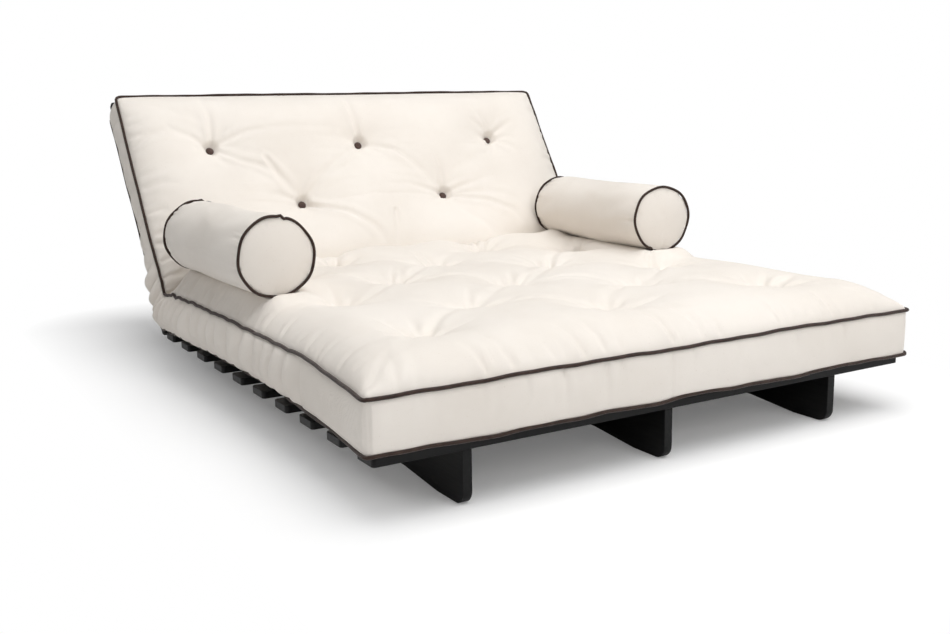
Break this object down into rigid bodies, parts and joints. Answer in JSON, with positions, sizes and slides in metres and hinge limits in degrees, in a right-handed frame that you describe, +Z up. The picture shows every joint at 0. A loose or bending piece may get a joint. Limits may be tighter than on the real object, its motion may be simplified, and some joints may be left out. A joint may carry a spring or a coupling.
{
  "type": "futon sofa bed",
  "caption": "Low slatted sofa bed with a buttoned, piped futon, a hinged slatted back that folds down flat, and loose cylindrical bolsters.",
  "frame": {"origin": "on the floor, at the middle of the sofa's overall width and depth", "axes": "+X to the right seen from the front, +Y from the front towards the back, +Z up"},
  "size_m": [1.422, 1.84, 0.7642],
  "materials": {
    "black_wood": "satin black lacquer over softwood",
    "natural_cotton": "unbleached cotton drill, matte",
    "brown_piping": "dark brown cotton over cord, matte",
    "brown_button": "dark brown fabric-covered button, matte",
    "zinc_steel": "zinc plated, satin",
    "nylon": "matte"
  },
  "bodies": {
    "base": {"seat_slat_01": "black_wood", "seat_slat_02": "black_wood", "seat_slat_03": "black_wood", "seat_slat_04": "black_wood", "seat_slat_05": "black_wood", "seat_slat_06": "black_wood", "seat_slat_07": "black_wood", "seat_slat_08": "black_wood", "seat_slat_09": "black_wood", "seat_slat_10": "black_wood", "runner_left": "black_wood", "runner_middle": "black_wood", "runner_right": "black_wood", "seat_arm_left": "zinc_steel", "seat_arm_middle": "zinc_steel", "seat_arm_right": "zinc_steel", "hinge_bolts": "zinc_steel", "hinge_washers": "zinc_steel", "hinge_nuts": "zinc_steel", "seat_slat_screws": "zinc_steel", "seat_arm_screws": "zinc_steel", "seat_futon": "natural_cotton", "seat_upper_piping": "brown_piping", "seat_lower_piping": "brown_piping", "seat_buttons": "brown_button"},
    "backrest": {"back_slat_01": "black_wood", "back_slat_02": "black_wood", "back_slat_03": "black_wood", "back_slat_04": "black_wood", "back_slat_05": "black_wood", "back_slat_06": "black_wood", "back_board_left": "black_wood", "back_board_middle": "black_wood", "back_board_right": "black_wood", "back_arm_left": "zinc_steel", "back_arm_middle": "zinc_steel", "back_arm_right": "zinc_steel", "hinge_bushes": "nylon", "back_slat_screws": "zinc_steel", "back_arm_screws": "zinc_steel", "back_futon": "natural_cotton", "back_upper_piping": "brown_piping", "back_lower_piping": "brown_piping", "back_buttons": "brown_button"},
    "left_bolster": {"bolster_left": "natural_cotton", "bolster_left_piping": "brown_piping"},
    "right_bolster": {"bolster_right": "natural_cotton", "bolster_right_piping": "brown_piping"}
  },
  "joints": [
    {"name": "back_fold", "type": "hinge", "parent": "base", "child": "backrest", "pos_m": [0, 0.44928, 0.073], "axis": [-1, 0, 0], "range_deg": [0, 56.7]},
    {"name": "left_bolster_lift", "type": "slide", "parent": "base", "child": "left_bolster", "axis": [0, 0, 1], "range_m": [0, 0.35]},
    {"name": "right_bolster_lift", "type": "slide", "parent": "base", "child": "right_bolster", "axis": [0, 0, 1], "range_m": [0, 0.35]}
  ]
}
